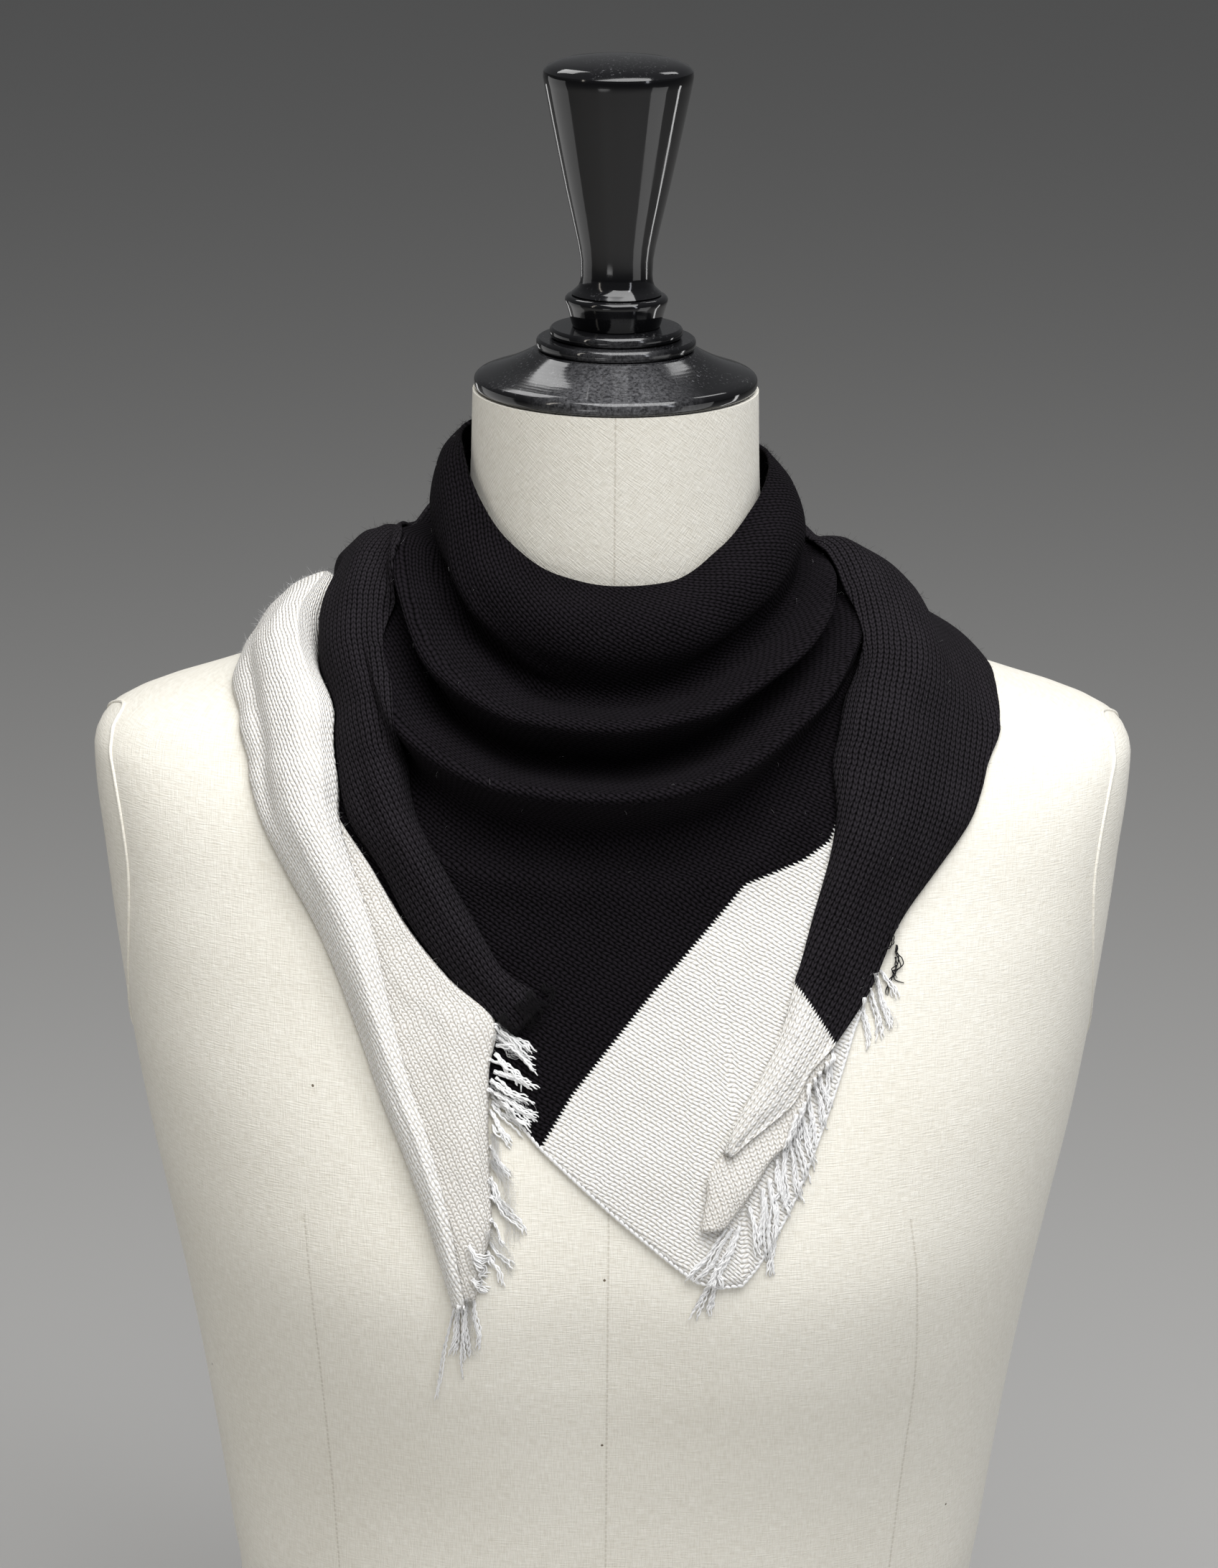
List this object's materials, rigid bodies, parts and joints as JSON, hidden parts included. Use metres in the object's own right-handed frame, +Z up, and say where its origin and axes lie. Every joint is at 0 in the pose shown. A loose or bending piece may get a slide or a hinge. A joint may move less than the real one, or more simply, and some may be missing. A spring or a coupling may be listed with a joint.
{
  "type": "knitted cashmere scarf worn on a limbless linen dress form",
  "caption": "Triangular knitted cashmere scarf, black with white ends and frayed edges, wound round the neck of a limbless linen dress form with a turned black handle.",
  "frame": {"origin": "middle of the dress form's flat base, on the neck's axis from side to side", "axes": "+Z up, -Y the way the chest faces, +X towards the wearer's left shoulder"},
  "size_m": [0.3886, 0.2619, 0.7817],
  "materials": {
    "linen": "plain woven cream linen glued on papier-mache",
    "black_lacquer": "turned wood, gloss black lacquer",
    "black_knit": "fine stocking-stitch cashmere, softly napped",
    "white_knit": "fine stocking-stitch cashmere, softly napped",
    "white_fringe": "loose plied cashmere ends"
  },
  "bodies": {
    "root": {"form_torso": "linen", "neck_plate": "black_lacquer", "cap_ring_lower": "black_lacquer", "cap_ring_upper": "black_lacquer", "handle_ferrule": "black_lacquer", "handle": "black_lacquer", "scarf_neck_roll": "black_knit", "scarf_upper_swag": "black_knit", "scarf_lower_swag": "black_knit", "scarf_bib_black": "black_knit", "scarf_nape_wrap_under": "black_knit", "scarf_nape_wrap_over": "black_knit", "scarf_left_tail_black": "black_knit", "scarf_right_tail_black": "black_knit", "scarf_bib_white": "white_knit", "scarf_left_tail_white": "white_knit", "scarf_left_tail_reverse": "white_knit", "scarf_right_tail_white": "white_knit", "scarf_right_tail_reverse": "white_knit", "fringe_left_edge": "white_fringe", "fringe_left_tip": "white_fringe", "fringe_right_edge": "white_fringe", "fringe_right_tip": "white_fringe", "fringe_right_tuft": "white_fringe"}
  },
  "joints": []
}
